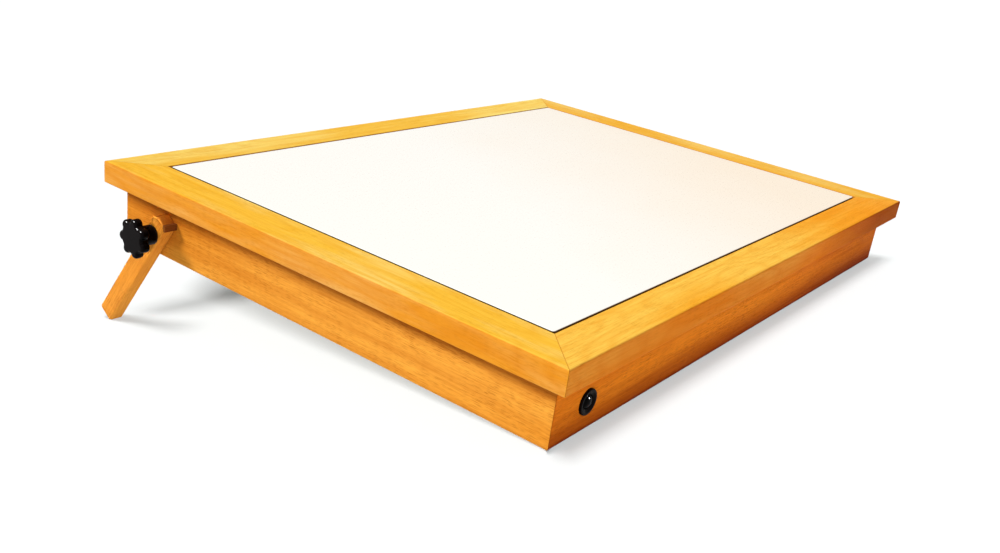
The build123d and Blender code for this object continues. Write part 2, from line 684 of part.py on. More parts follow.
def bearing(z):
    """Where the stop's rear face is at a height on the board: along the leg's chamfer, just clear."""
    return CORNER_Y + (z - CORNER_Z) * sin(CHAMFER_LEAN) / cos(CHAMFER_LEAN) - STOP_CLEARANCE


stop_front = bearing(STOP_BOTTOM) - STOP_DEPTH
for hand, sign in HANDS.items():
    with BuildPart() as leg_stop:
        side_view = Plane((sign * BOX_WIDTH / 2, 0, 0), x_dir=(0, 1, 0), z_dir=(1, 0, 0))
        with BuildSketch(BOARD.moved(side_view)):
            Polygon(
                (stop_front, STOP_BOTTOM),
                (bearing(STOP_BOTTOM), STOP_BOTTOM),
                (bearing(STOP_TOP), STOP_TOP),
                (stop_front, STOP_TOP),
                align=None,
            )
        extrude(amount=sign * STOP_LENGTH)
    leg_stop.part.label = f"{hand}_leg_stop"
    export_step(leg_stop.part, f"parts/{leg_stop.part.label}.step")

# Legs, their carriage bolts, washers and star knobs
WASHER_SEAT = LEG_FACE + RUNNING_FIT
KNOB_SEAT = WASHER_SEAT + WASHER_THICKNESS
BOLT_END = KNOB_SEAT + THREAD_LENGTH
BOLT_HEAD_RADIUS = 7.0
BOLT_HEAD = 3.4
INSERT_RADIUS = 5.0
INSERT_LENGTH = 13.0
POCKET_DEPTH = 16.0
for hand, sign in HANDS.items():
    pivot = pivot_plane(hand)
    leg_axis = (0, sin(slope), -cos(slope))
    inner_face = (sign * (BOX_WIDTH / 2 + LEG_GAP), PIVOT_Y, PIVOT_Z)
    leg_view = Plane(inner_face, x_dir=leg_axis, z_dir=(sign, 0, 0))

    with BuildPart() as leg:
        with BuildSketch(BOARD.moved(leg_view)) as outline:
            with Locations(((LEG_REACH - LEG_HEAD) / 2, 0)):
                Rectangle(LEG_REACH + LEG_HEAD, LEG_WIDTH)
            chamfer(outline.vertices().group_by(Axis.X)[0], length=LEG_HEAD_CHAMFER)
            chamfer(outline.vertices().group_by(Axis.X)[-1], length=HEEL_CHAMFER)
        extrude(amount=LEG_THICKNESS)
        fillet(leg.faces().sort_by(turning(pivot))[-1].edges(), radius=LEG_ROUND)
        chamfer(leg.faces().sort_by(turning(pivot))[0].edges(), length=FINE_EDGE)
        with BuildSketch(pivot):
            Circle(BOLT_RADIUS + RUNNING_FIT)
        extrude(amount=LEG_FACE, mode=Mode.SUBTRACT)
        split(bisect_by=TABLE)
    leg.part.label = f"{hand}_leg"
    export_step(leg.part, f"parts/{leg.part.label}.step")

    with BuildPart() as bolt:
        with BuildSketch(pivot.moved(Plane.XZ)):
            with BuildLine():
                Polyline(
                    (0, -WALL - BOLT_HEAD),
                    (0, BOLT_END),
                    (BOLT_RADIUS - FINE_EDGE, BOLT_END),
                    (BOLT_RADIUS, BOLT_END - FINE_EDGE),
                    (BOLT_RADIUS, -WALL),
                    (BOLT_HEAD_RADIUS, -WALL),
                )
                TangentArc((0, -WALL - BOLT_HEAD), (BOLT_HEAD_RADIUS, -WALL), tangent=(1, 0))
            make_face()
        revolve(axis=turning(pivot))
        with BuildSketch(pivot.offset(-WALL)):
            Rectangle(2 * BOLT_RADIUS, 2 * BOLT_RADIUS)
        extrude(amount=WALL / 4)
    bolt.part.label = f"{hand}_bolt"
    export_step(bolt.part, f"parts/{bolt.part.label}.step")

    with BuildPart() as washer:
        with BuildSketch(pivot.offset(WASHER_SEAT)):
            Circle(WASHER_RADIUS)
            Circle(BOLT_RADIUS + RUNNING_FIT, mode=Mode.SUBTRACT)
        extrude(amount=WASHER_THICKNESS)
    washer.part.label = f"{hand}_washer"
    export_step(washer.part, f"parts/{washer.part.label}.step")

    with BuildPart() as insert:
        with BuildSketch(pivot.offset(KNOB_SEAT)):
            Circle(INSERT_RADIUS)
            Circle(BOLT_RADIUS + RUNNING_FIT, mode=Mode.SUBTRACT)
        extrude(amount=INSERT_LENGTH)
    insert.part.label = f"{hand}_knob_insert"
    export_step(insert.part, f"parts/{insert.part.label}.step")

    with BuildPart() as knob:
        with BuildSketch(pivot.offset(KNOB_SEAT + NECK_LENGTH)) as star:
            Circle(KNOB_RADIUS - LOBE_RADIUS + 1)
            with PolarLocations(KNOB_RADIUS - LOBE_RADIUS, KNOB_LOBES, start_angle=KNOB_PHASE):
                Circle(LOBE_RADIUS)
            fillet(star.vertices(), radius=LOBE_RADIUS / 2)
        extrude(amount=HEAD_LENGTH)
        fillet(knob.faces().sort_by(turning(pivot))[-1].edges(), radius=HEAD_ROUND)
        fillet(knob.faces().sort_by(turning(pivot))[0].edges(), radius=HEAD_ROUND)
        with BuildSketch(pivot.offset(KNOB_SEAT)):
            Circle(NECK_RADIUS)
        extrude(amount=NECK_LENGTH + 1)
        with BuildSketch(pivot.offset(KNOB_SEAT)):
            Circle(INSERT_RADIUS)
        extrude(amount=INSERT_LENGTH, mode=Mode.SUBTRACT)
        with BuildSketch(pivot.offset(KNOB_SEAT + INSERT_LENGTH)):
            Circle(BOLT_RADIUS + RUNNING_FIT)
        extrude(amount=POCKET_DEPTH - INSERT_LENGTH, mode=Mode.SUBTRACT)
    knob.part.label = f"{hand}_knob"
    export_step(knob.part, f"parts/{knob.part.label}.step")
    print(hand, "pivot", [round(value, 4) for value in pivot.origin])

print("board origin", [round(value, 4) for value in BOARD.origin], "leg reach", round(LEG_REACH, 2))
print("button", [round(value, 4) for value in BUTTON.origin], [round(value, 6) for value in BUTTON.z_dir])
print("inlet", [round(value, 4) for value in INLET.origin], [round(value, 6) for value in INLET.z_dir])
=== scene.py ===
import json
import math

import bpy
from mathutils import Euler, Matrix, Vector


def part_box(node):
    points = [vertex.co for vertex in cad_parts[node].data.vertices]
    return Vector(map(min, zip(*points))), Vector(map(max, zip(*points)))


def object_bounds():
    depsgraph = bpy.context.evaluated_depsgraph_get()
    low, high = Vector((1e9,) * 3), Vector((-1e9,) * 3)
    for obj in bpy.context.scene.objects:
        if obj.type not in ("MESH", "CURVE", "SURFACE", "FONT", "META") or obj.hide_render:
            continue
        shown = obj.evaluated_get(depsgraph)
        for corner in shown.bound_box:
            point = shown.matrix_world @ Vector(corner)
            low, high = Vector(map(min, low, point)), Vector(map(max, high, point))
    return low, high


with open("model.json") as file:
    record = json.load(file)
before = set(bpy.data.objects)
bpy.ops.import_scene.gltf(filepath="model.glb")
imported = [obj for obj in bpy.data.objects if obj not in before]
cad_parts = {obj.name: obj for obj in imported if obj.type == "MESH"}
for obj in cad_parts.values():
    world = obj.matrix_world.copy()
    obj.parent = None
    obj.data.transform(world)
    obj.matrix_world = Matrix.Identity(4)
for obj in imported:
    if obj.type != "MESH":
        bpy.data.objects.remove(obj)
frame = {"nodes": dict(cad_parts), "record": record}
CAD_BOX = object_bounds()
NODES = frame["nodes"]
MOUNTS = frame["record"]["mounts"]

# the box stands tilted up to the rear, and its legs lean back from upright
TILT = math.radians(9.4)
LEG_LEAN = TILT + math.radians(34.7)
BOARD_NORMAL = Vector((0.0, -math.sin(TILT), math.cos(TILT)))
TO_THE_RIGHT = (1.0, 0.0, 0.0)

# how far the underside of the box's boards lies along the board's normal
PANEL_HEIGHT = 0.0734
PANEL_FACE = next(mount for mount in MOUNTS if mount["name"] == "drawing_surface")
UNDERSIDE = BOARD_NORMAL.dot(Vector(PANEL_FACE["pos_m"])) - PANEL_HEIGHT

WHITE = (1.0, 1.0, 1.0)


def rgba(red, green, blue):
    return (red, green, blue, 1.0)


def scaled(colour, factor, lift=0.0):
    """A colour made lighter or darker, no channel over 1."""
    return rgba(*(min(1.0, channel * factor + lift) for channel in colour))


class Shader:
    """A material's node tree, with short calls for the nodes that the finishes share."""

    def __init__(self, name):
        self.material = bpy.data.materials.new(name)
        self.material.use_nodes = True
        self.tree = self.material.node_tree
        self.tree.nodes.clear()
        self.output = self.tree.nodes.new("ShaderNodeOutputMaterial")
        self.surface = self.tree.nodes.new("ShaderNodeBsdfPrincipled")
        self.tree.links.new(self.surface.outputs["BSDF"], self.output.inputs["Surface"])
        coordinates = self.tree.nodes.new("ShaderNodeTexCoord")
        self.place = coordinates.outputs["Object"]
        self.facing = coordinates.outputs["Normal"]

    def node(self, kind, inputs, **settings):
        """A new node, its settings made and its inputs linked or set."""
        made = self.tree.nodes.new(kind)
        for key, value in settings.items():
            setattr(made, key, value)
        for key, value in inputs.items():
            self.feed(made.inputs[key], value)
        return made

    def feed(self, socket, value):
        """Link a socket to another socket, or set it to a plain value."""
        if isinstance(value, bpy.types.NodeSocket):
            self.tree.links.new(value, socket)
        else:
            socket.default_value = value

    def set(self, **values):
        """Feed inputs of the surface shader, with underscores for spaces."""
        for key, value in values.items():
            self.feed(self.surface.inputs[key.replace("_", " ")], value)

    def mapped(self, vector, scale=(1, 1, 1), rotation=(0, 0, 0), location=(0, 0, 0)):
        inputs = {"Vector": vector, "Scale": scale, "Rotation": rotation, "Location": location}
        return self.node("ShaderNodeMapping", inputs).outputs["Vector"]

    def noise(self, vector, scale, detail=2.0, roughness=0.5):
        inputs = {"Vector": vector, "Scale": scale, "Detail": detail, "Roughness": roughness}
        return self.node("ShaderNodeTexNoise", inputs).outputs["Fac"]

    def streaks(self, vector, scale, detail=2.0, roughness=0.5):
        """Noise drawn out by a different scale on each axis."""
        return self.noise(self.mapped(vector, scale), 1.0, detail, roughness)

    def ramp(self, factor, *stops):
        """Greys by position, straight lines between them."""
        made = self.node("ShaderNodeValToRGB", {"Fac": factor})
        for element, (position, grey) in zip(made.color_ramp.elements, stops):
            element.position = position
            element.color = rgba(grey, grey, grey)
        return made.outputs["Color"]

    def mix(self, factor, first, second, blend_type="MIX"):
        """Two colours mixed by a factor."""
        inputs = {0: factor, 6: first, 7: second}
        return self.node("ShaderNodeMix", inputs, data_type="RGBA", blend_type=blend_type).outputs[2]

    def tinted(self, factor, colour, tint):
        """The colour multiplied by a tint where the factor is 1."""
        return self.mix(factor, colour, rgba(*tint), "MULTIPLY")

    def math(self, operation, *values):
        made = self.node("ShaderNodeMath", dict(enumerate(values)), operation=operation)
        return made.outputs["Value"]

    def times(self, first, second):
        return self.math("MULTIPLY", first, second)

    def span(self, value, low, high, out_low=0.0, out_high=1.0):
        """The value's reach from low to high, stretched over the outputs and held at their ends."""
        inputs = {"Value": value, "From Min": low, "From Max": high}
        inputs.update({"To Min": out_low, "To Max": out_high})
        return self.node("ShaderNodeMapRange", inputs).outputs["Result"]

    def along(self, vector, direction):
        """How far a vector reaches along a direction."""
        inputs = {0: vector, 1: direction}
        return self.node("ShaderNodeVectorMath", inputs, operation="DOT_PRODUCT").outputs["Value"]

    def bump(self, height, distance, strength):
        inputs = {"Height": height, "Distance": distance, "Strength": strength}
        return self.node("ShaderNodeBump", inputs).outputs["Normal"]

    def edges(self, radius):
        """1 on flat ground and lower towards an edge, from a bevelled normal."""
        bevel = self.node("ShaderNodeBevel", {"Radius": radius}, samples=6)
        geometry = self.node("ShaderNodeNewGeometry", {})
        return self.along(bevel.outputs["Normal"], geometry.outputs["Normal"])


# Scales of the wood's figure, along the grain and twice across it. A layer adds its detail and its
# roughness.
SWAY_SCALE = (3.2, 16.0, 16.0)
SWAY_REACH = 0.004
BROAD_LAYER = ((5.0, 34.0, 34.0), 3.0, 0.6)
MOOD_LAYER = ((3.4, 7.0, 7.0), 1.0, 0.4)
RING_LAYER = ((2.4, 150.0, 150.0), 4.0, 0.6)
STREAK_LAYER = ((16.0, 560.0, 560.0), 3.0, 0.6)
FIBRE_LAYER = ((90.0, 1700.0, 1700.0), 3.0, 0.65)
HEART_LAYER = ((5.5, 24.0, 24.0), 1.0, 0.4)
LONG_PORES = (80.0, 1200.0, 1200.0)
SHORT_PORES = (150.0, 1800.0, 1800.0)
PORE_PATCHES = (18.0, 50.0, 50.0)
FLAME_COUNT = 10.0

# the pores' colour, as a share of the dark tone
PORE_SHARE = 0.70

# Where the painted shade and the other tints lie, in metres: up from the boards' underside, and to the
# right of the middle.
FOOT_SHADE_BAND = (0.001, 0.026)
FOOT_SHADE_LINE = (0.0010, 0.0055)
EAVE_SHADOW_BAND = (0.031, 0.049)
FAR_BAND = (0.02, 0.34)
TAIL_SHADE_BAND = (0.10, 0.27)
RAGGED = 0.003

# How much of a face's normal lies along the board's, from a face that looks sideways to one that
# looks up, across which the painted shade on the sideways faces fades out.
LOOKS_UP = (0.62, 0.97)

WOOD_SPECULAR = 0.006
OIL_TINT = rgba(1.0, 0.50, 0.12)


def beech(name, tones, turn, seed, flecks, bands, flames=0.0, **tints):
    """Oiled beech. turn is the rotation that brings the grain onto the X axis, seed moves the piece to
    another part of the log, and tones are its pale, middle and dark colours. flecks, bands and flames
    are how strongly its pores, its rings and the arched figure of a flat-sawn face show, and tints of
    painted shade go to with_painted_shade()."""
    s = Shader(name)
    pale, middle, dark = (rgba(*tone) for tone in tones)
    grain = wandering_grain(s, turn, seed)
    broad = s.streaks(grain, *BROAD_LAYER)
    mood = s.streaks(grain, *MOOD_LAYER)
    rings = s.streaks(grain, *RING_LAYER)
    streak = s.streaks(grain, *STREAK_LAYER)
    fibre = s.streaks(grain, *FIBRE_LAYER)
    heart = s.streaks(grain, *HEART_LAYER)
    arch = s.math("PINGPONG", s.times(heart, FLAME_COUNT), 0.5)

    cast = s.math("ADD", s.times(broad, 0.45), s.times(mood, 0.55))
    colour = s.mix(s.span(cast, 0.42, 0.58), pale, middle)
    colour = s.mix(s.times(s.span(rings, 0.44, 0.66), bands), colour, dark)
    colour = s.mix(s.times(s.span(arch, 0.22, 0.5), flames), colour, dark)
    colour = s.mix(s.times(s.span(streak, 0.46, 0.68), 0.35), colour, dark)
    colour = s.mix(s.times(s.span(fibre, 0.42, 0.72), 0.20), colour, dark)

    fleck = s.math("MAXIMUM", pores(s, grain, SHORT_PORES), pores(s, grain, LONG_PORES))
    colour = s.mix(s.times(fleck, flecks), colour, scaled(tones[2], PORE_SHARE))
    # painted shade by where a face looks and how high it sits, from the tints
    colour = with_painted_shade(s, colour, broad, **tints)

    # handled edges are burnished a little darker
    edge = s.span(s.edges(0.0014), 0.80, 1.0, 1.0, 0.0)
    colour = s.mix(s.times(edge, 0.22), colour, dark)

    rough = s.math("ADD", s.span(streak, 0.3, 0.7, 0.42, 0.55), s.times(fleck, 0.15))
    relief = s.math("SUBTRACT", s.times(fibre, 0.5), s.times(fleck, 0.9))
    s.set(Base_Color=colour, Roughness=rough, Normal=s.bump(relief, 0.00015, 0.6))
    s.set(Specular_IOR_Level=WOOD_SPECULAR, Specular_Tint=OIL_TINT)
    return s.material


def wandering_grain(s, turn, seed):
    """The place in the log, with the grain on the X axis and swaying a little from side to side."""
    log = s.mapped(s.place, rotation=turn, location=seed)
    wander = s.span(s.streaks(log, SWAY_SCALE), 0.0, 1.0, -SWAY_REACH, SWAY_REACH)
    shift = s.node("ShaderNodeCombineXYZ", {"Y": wander, "Z": wander}).outputs["Vector"]
    return s.node("ShaderNodeVectorMath", {0: log, 1: shift}, operation="ADD").outputs["Vector"]


def pores(s, grain, scale):
    """Short dashes along the grain, thinned out in patches: the dark pores and ray flecks of beech."""
    cells = s.node("ShaderNodeTexVoronoi", {"Vector": s.mapped(grain, scale), "Scale": 1.0})
    dash = s.ramp(cells.outputs["Distance"], (0.18, 1.0), (0.44, 0.0))
    pick = s.node("ShaderNodeSeparateColor", {"Color": cells.outputs["Color"]}).outputs["Red"]
    kept = s.ramp(pick, (0.22, 0.0), (0.55, 1.0))
    patch = s.span(s.streaks(grain, PORE_PATCHES), 0.34, 0.58, 0.35, 1.0)
    return s.times(dash, s.times(kept, patch))


def with_painted_shade(s, colour, ragged, side=WHITE, foot=WHITE, far=WHITE, eave=WHITE, tail=WHITE):
    """The wood's colour with painted shade. side paints shade on the faces that do not look up, foot
    paints shade towards the boards' underside, eave paints the frame's shadow under it, far tints it
    towards the right-hand end, and tail paints shade there on the faces that do not look up."""
    sideways = s.span(s.along(s.facing, BOARD_NORMAL), *LOOKS_UP, 1.0, 0.0)
    height = s.math("SUBTRACT", s.along(s.place, BOARD_NORMAL), UNDERSIDE)
    patchy = s.math("ADD", height, s.span(ragged, 0.3, 0.7, -RAGGED, RAGGED))
    rightward = s.along(s.place, TO_THE_RIGHT)
    # painted shade on the faces that look sideways
    colour = s.tinted(sideways, colour, side)
    # painted shade towards the boards' underside, and a darker painted line at its bottom edge
    colour = s.tinted(s.span(patchy, *FOOT_SHADE_BAND, 1.0, 0.0), colour, foot)
    colour = s.tinted(s.span(height, *FOOT_SHADE_LINE, 1.0, 0.0), colour, foot)
    # painted shadow of the frame's overhang
    colour = s.tinted(s.span(patchy, *EAVE_SHADOW_BAND), colour, eave)
    # darker towards the right-hand end
    colour = s.tinted(s.span(rightward, *FAR_BAND), colour, far)
    # painted shade on the sideways faces, deeper towards the right-hand end
    return s.tinted(s.times(sideways, s.span(rightward, *TAIL_SHADE_BAND)), colour, tail)


def plywood(name):
    """Birch ply: a pale face veneer with fine fibres."""
    s = Shader(name)
    face = s.streaks(s.place, (2.0, 60.0, 60.0), 4.0, 0.6)
    fibre = s.streaks(s.place, (20.0, 900.0, 900.0), 3.0, 0.6)
    colour = s.mix(s.span(face, 0.35, 0.7), rgba(0.62, 0.43, 0.22), rgba(0.47, 0.29, 0.12))
    colour = s.mix(s.times(fibre, 0.25), colour, rgba(0.30, 0.17, 0.07))
    s.set(Base_Color=colour, Roughness=s.span(face, 0.3, 0.7, 0.5, 0.62))
    s.set(Normal=s.bump(fibre, 0.0001, 0.5))
    return s.material


def opal(name):
    """Opal acrylic, satin, with faint mottling and a painted warm light towards its front right. Its
    sawn sides are painted dark as painted shade, so the gap round the panel reads as a dark line, and
    its face carries a faint painted glow."""
    s = Shader(name)
    cloud = s.noise(s.place, 5.0, 3.0, 0.5)
    fine = s.noise(s.place, 700.0, 3.0, 0.5)
    to_front_right = s.along(s.place, (1.0, -0.6, 0.0))
    painted_warmth_and_mottling = s.math("ADD", to_front_right, s.span(cloud, 0.3, 0.7, -0.05, 0.05))
    # painted warm light towards the front right, over faint mottling
    face = s.mix(s.span(painted_warmth_and_mottling, -0.08, 0.36), rgba(0.920, 0.900, 0.855), rgba(0.910, 0.780, 0.625))
    # painted shade on the sawn sides, so the gap round the panel reads dark
    painted_gap_shade = s.mix(s.span(fine, 0.3, 0.7), rgba(0.050, 0.032, 0.005), rgba(0.085, 0.058, 0.012))
    level = s.span(s.along(s.facing, BOARD_NORMAL), 0.45, 0.75)
    s.set(Base_Color=s.mix(level, painted_gap_shade, face), Roughness=s.span(fine, 0.3, 0.7, 0.26, 0.34))
    s.set(Normal=s.bump(fine, 0.00001, 0.4), Specular_IOR_Level=0.3)
    # a faint painted glow that brightens the face
    s.set(Emission_Color=rgba(1.0, 0.97, 0.93), Emission_Strength=s.span(level, 0.0, 1.0, 0.0, 0.08))
    return s.material


def plastic(name, colour, rough=0.35, grain=0.00003, scale=1800.0, sheen=0.5):
    """Moulded plastic or lacquer: fine texture, slight drift in tone and gloss, edges rubbed paler."""
    s = Shader(name)
    cloud = s.noise(s.place, 55.0, 3.0, 0.55)
    fine = s.noise(s.place, scale)
    tone = s.mix(s.span(cloud, 0.35, 0.65), scaled(colour, 0.88), scaled(colour, 1.12))
    worn = s.span(s.edges(0.0006), 0.85, 1.0, 1.0, 0.0)
    tone = s.mix(s.times(worn, 0.12), tone, scaled(colour, 1.3, 0.006))
    s.set(Base_Color=tone, Roughness=s.span(cloud, 0.3, 0.7, rough * 0.85, rough * 1.15))
    s.set(Normal=s.bump(fine, grain, 0.5), Specular_IOR_Level=sheen)
    return s.material


def metal(name, colour, rough):
    """Plated or turned metal: fine tool marks and dulled patches."""
    s = Shader(name)
    cloud = s.noise(s.place, 130.0, 3.0, 0.6)
    marks = s.streaks(s.place, (260.0, 1560.0, 260.0), 3.0, 0.6)
    tone = s.mix(s.span(cloud, 0.35, 0.7), rgba(*colour), scaled(colour, 0.72))
    s.set(Base_Color=tone, Metallic=1.0, Roughness=s.span(marks, 0.3, 0.7, rough * 0.7, rough * 1.3))
    s.set(Normal=s.bump(marks, 0.00003, 0.5))
    return s.material


def circuit(name):
    """Green solder mask over a grid of raised traces."""
    s = Shader(name)
    brick = s.node("ShaderNodeTexBrick", {
        "Vector": s.place,
        "Color1": rgba(*WHITE),
        "Color2": rgba(*WHITE),
        "Mortar": rgba(0, 0, 0),
        "Scale": 1.0,
        "Mortar Size": 0.0006,
        "Brick Width": 0.0085,
        "Row Height": 0.0042,
    }).outputs["Color"]
    weave = s.noise(s.place, 1400.0)
    tone = s.mix(brick, rgba(0.035, 0.16, 0.07), rgba(0.012, 0.075, 0.035))
    s.set(Base_Color=tone, Roughness=s.span(weave, 0.3, 0.7, 0.30, 0.42))
    s.set(Normal=s.bump(brick, 0.00004, 0.5))
    return s.material


def cloth_tape(name):
    """White tape with a faint crepe."""
    s = Shader(name)
    crepe = s.streaks(s.place, (300.0, 1100.0, 300.0), 3.0, 0.6)
    tone = s.mix(s.span(crepe, 0.3, 0.7), rgba(0.74, 0.73, 0.70), rgba(0.62, 0.61, 0.58))
    s.set(Base_Color=tone, Roughness=s.span(crepe, 0.3, 0.7, 0.7, 0.85))
    s.set(Normal=s.bump(crepe, 0.00006, 0.6))
    return s.material


def phosphor(name):
    """Yellow LED phosphor under a clear coat."""
    s = Shader(name)
    grains = s.noise(s.place, 2600.0, 2.0, 0.6)
    tone = s.mix(s.span(grains, 0.3, 0.7), rgba(0.86, 0.62, 0.09), rgba(0.70, 0.45, 0.05))
    s.set(Base_Color=tone, Roughness=s.span(grains, 0.3, 0.7, 0.25, 0.40))
    s.set(Coat_Weight=0.6, Coat_Roughness=0.05, Normal=s.bump(grains, 0.00003, 0.4))
    return s.material


def wear(material, *names):
    """The named CAD nodes take this material."""
    for name in names:
        mesh = NODES[name].data
        mesh.materials.clear()
        mesh.materials.append(material)


# rotations that bring the grain of a piece onto the X axis
ALONG_X = (-TILT, 0.0, 0.0)
ALONG_BOARD = (-TILT, 0.0, -math.pi / 2)
ALONG_LEG = (math.pi / 2 - LEG_LEAN, 0.0, -math.pi / 2)

# pale, middle and dark tones
FRONT_TOP_TONES = ((0.97, 0.60, 0.090), (0.95, 0.43, 0.026), (0.81, 0.29, 0.008))
LEFT_TOP_TONES = ((0.98, 0.84, 0.310), (0.95, 0.54, 0.050), (0.82, 0.37, 0.014))
REAR_TOP_TONES = ((0.96, 0.78, 0.220), (0.92, 0.56, 0.070), (0.79, 0.36, 0.020))
RIGHT_TOP_TONES = ((0.93, 0.66, 0.180), (0.90, 0.48, 0.055), (0.76, 0.33, 0.016))
SIDE_TONES = ((0.78, 0.34, 0.045), (0.70, 0.265, 0.025), (0.48, 0.130, 0.008))
LEG_TONES = ((0.77, 0.33, 0.050), (0.71, 0.265, 0.030), (0.50, 0.130, 0.010))
# the front board's tones are deeper and more saturated than the sides': painted shade for a face
# turned away from the key light
FRONT_TONES = ((0.90, 0.27, 0.014), (0.82, 0.21, 0.010), (0.56, 0.11, 0.004))
STOP_TONES = ((0.30, 0.10, 0.02), (0.22, 0.065, 0.012), (0.12, 0.03, 0.006))
BLOCK_TONES = ((0.60, 0.38, 0.17), (0.50, 0.29, 0.11), (0.36, 0.19, 0.06))

# tints of painted shade, as with_painted_shade() takes them; far alone just darkens towards the
# right-hand end
END_LIP_SHADE = (0.86, 0.52, 0.42)
SIDE_LIP_SHADE = (0.72, 0.49, 0.42)
FRONT_FAR = (0.97, 0.78, 0.62)
# painted shade on the front rail's sides, deeper towards the right-hand end
FRONT_RAIL_TINTS = {"side": END_LIP_SHADE, "far": FRONT_FAR, "tail": (0.52, 0.40, 0.08)}
REAR_RAIL_TINTS = {"side": END_LIP_SHADE}
SIDE_RAIL_TINTS = {"side": SIDE_LIP_SHADE}
# painted shade at the front board's foot, and deeper towards the right-hand end
FRONT_BOARD_TINTS = {"foot": (0.38, 0.15, 0.01), "far": FRONT_FAR, "tail": (0.84, 0.86, 0.70)}
# painted shadow of the frame on the side boards
SIDE_BOARD_TINTS = {"eave": (0.54, 0.35, 0.24)}


def dress_top_frame():
    front = beech(
        "beech_front_rail", FRONT_TOP_TONES, ALONG_X, (0.31, 0.12, 0.07),
        flecks=0.32, bands=0.30, flames=0.25, **FRONT_RAIL_TINTS,
    )
    rear = beech(
        "beech_rear_rail", REAR_TOP_TONES, ALONG_X, (1.93, 0.55, 0.21),
        flecks=0.30, bands=0.30, flames=0.25, **REAR_RAIL_TINTS,
    )
    left = beech(
        "beech_left_rail", LEFT_TOP_TONES, ALONG_BOARD, (0.77, 1.41, 0.35),
        flecks=0.32, bands=0.30, flames=0.35, **SIDE_RAIL_TINTS,
    )
    right = beech(
        "beech_right_rail", RIGHT_TOP_TONES, ALONG_BOARD, (2.61, 0.83, 0.11),
        flecks=0.30, bands=0.30, flames=0.25, **SIDE_RAIL_TINTS,
    )
    biscuit = beech("pressed_beech", BLOCK_TONES, ALONG_X, (9.31, 0.44, 0.51), flecks=0.4, bands=0.3)
    wear(front, "top_front_rail")
    wear(rear, "top_rear_rail")
    wear(left, "top_left_rail")
    wear(right, "top_right_rail")
    wear(biscuit, "mitre_biscuits")


def dress_box():
    front = beech(
        "beech_front_board", FRONT_TONES, ALONG_X, (3.17, 1.22, 0.47),
        flecks=0.60, bands=0.50, flames=0.15, **FRONT_BOARD_TINTS,
    )
    rear = beech(
        "beech_rear_board", SIDE_TONES, ALONG_X, (4.05, 0.31, 0.59),
        flecks=0.60, bands=0.50, flames=0.20,
    )
    wear(front, "box_front_board")
    wear(rear, "box_rear_board")
    for hand, seed in (("left", (0.52, 2.77, 0.63)), ("right", (1.18, 3.36, 0.71))):
        side = beech(
            f"beech_{hand}_board", SIDE_TONES, ALONG_BOARD, seed,
            flecks=0.60, bands=0.40, flames=0.15, **SIDE_BOARD_TINTS,
        )
        wear(side, f"box_{hand}_board")
    block = beech("planed_block", BLOCK_TONES, ALONG_X, (8.07, 1.05, 0.27), flecks=0.2, bands=0.6)
    corners = ("front_left", "front_right", "rear_left", "rear_right")
    wear(block, *[f"corner_block_{corner}" for corner in corners])
    wear(plywood("birch_ply"), "base_board")


def dress_legs():
    for hand, seed in (("left", (5.41, 1.93, 0.83)), ("right", (6.29, 2.48, 0.97))):
        leg = beech(
            f"beech_{hand}_leg", LEG_TONES, ALONG_LEG, seed,
            flecks=0.45, bands=0.40, flames=0.20,
        )
        wear(leg, f"{hand}_leg")
    # the stops are given a much darker wood than the legs
    stop = beech("dark_stop", STOP_TONES, ALONG_X, (7.13, 0.39, 0.15), flecks=0.3, bands=0.5)
    wear(stop, "left_leg_stop", "right_leg_stop")


def dress_light():
    wear(opal("opal_acrylic"), "opal_panel")
    wear(cloth_tape("foam_tape"), "panel_tape")
    wear(plastic("white_reflector", (0.85, 0.85, 0.84), 0.55, 0.00004), "reflector_sheet")
    bars = [f"led_bar_{n}" for n in range(1, 7)]
    wear(plastic("white_board", (0.80, 0.80, 0.78), 0.40, 0.00003), *bars)
    wear(phosphor("led_phosphor"), "led_chips")
    wear(plastic("link_insulation", (0.70, 0.70, 0.68), 0.45), "led_links")


def dress_electrics():
    wear(circuit("solder_mask"), "dimmer_board")
    wear(plastic("component_black", (0.022, 0.022, 0.024), 0.42, 0.00005), "dimmer_parts")
    wear(plastic("nylon", (0.62, 0.60, 0.54), 0.45), "dimmer_spacers")
    wear(metal("zinc", (0.62, 0.61, 0.58), 0.32), "dimmer_screws", "frame_screws", "base_screws")
    wear(plastic("supply_jacket", (0.018, 0.018, 0.020), 0.5), "supply_cable")
    wear(plastic("red_lead", (0.36, 0.028, 0.020), 0.42), "switch_lead")
    wear(plastic("grey_lead", (0.30, 0.30, 0.31), 0.42), "lamp_lead")
    wear(plastic("inlet_case", (0.020, 0.020, 0.022), 0.36), "inlet_shell")
    wear(metal("nickel", (0.70, 0.67, 0.60), 0.24), "inlet_contacts", "inlet_nut", "button_nut")
    wear(plastic("switch_case", (0.030, 0.030, 0.033), 0.42), "switch_body")


def dress_controls():
    ring = plastic("button_ring", (0.0050, 0.0030, 0.0022), 0.24, 0.00002, sheen=0.02)
    cap = plastic("button_gloss", (0.0003, 0.0002, 0.0002), 0.12, 0.00001, sheen=0.03)
    knob = plastic("knob_gloss", (0.0003, 0.0002, 0.0002), 0.14, 0.00001, sheen=0.03)
    washer = plastic("washer_nylon", (0.004, 0.004, 0.004), 0.34, 0.00002, sheen=0.1)
    wear(ring, "button_bezel")
    wear(cap, "button_cap")
    wear(knob, "left_knob", "right_knob")
    wear(washer, "left_washer", "right_washer")
    wear(metal("brass", (0.72, 0.46, 0.16), 0.28), "left_knob_insert", "right_knob_insert")
    wear(metal("plated_steel", (0.58, 0.58, 0.57), 0.30), "left_bolt", "right_bolt")
    wear(plastic("rubber", (0.030, 0.029, 0.028), 0.72, 0.00008, 900.0), "rubber_bumpers")


FLOOR_REACH = 60.0
FLOOR_DROP = 0.0002
FLOOR_GLOW = 0.155


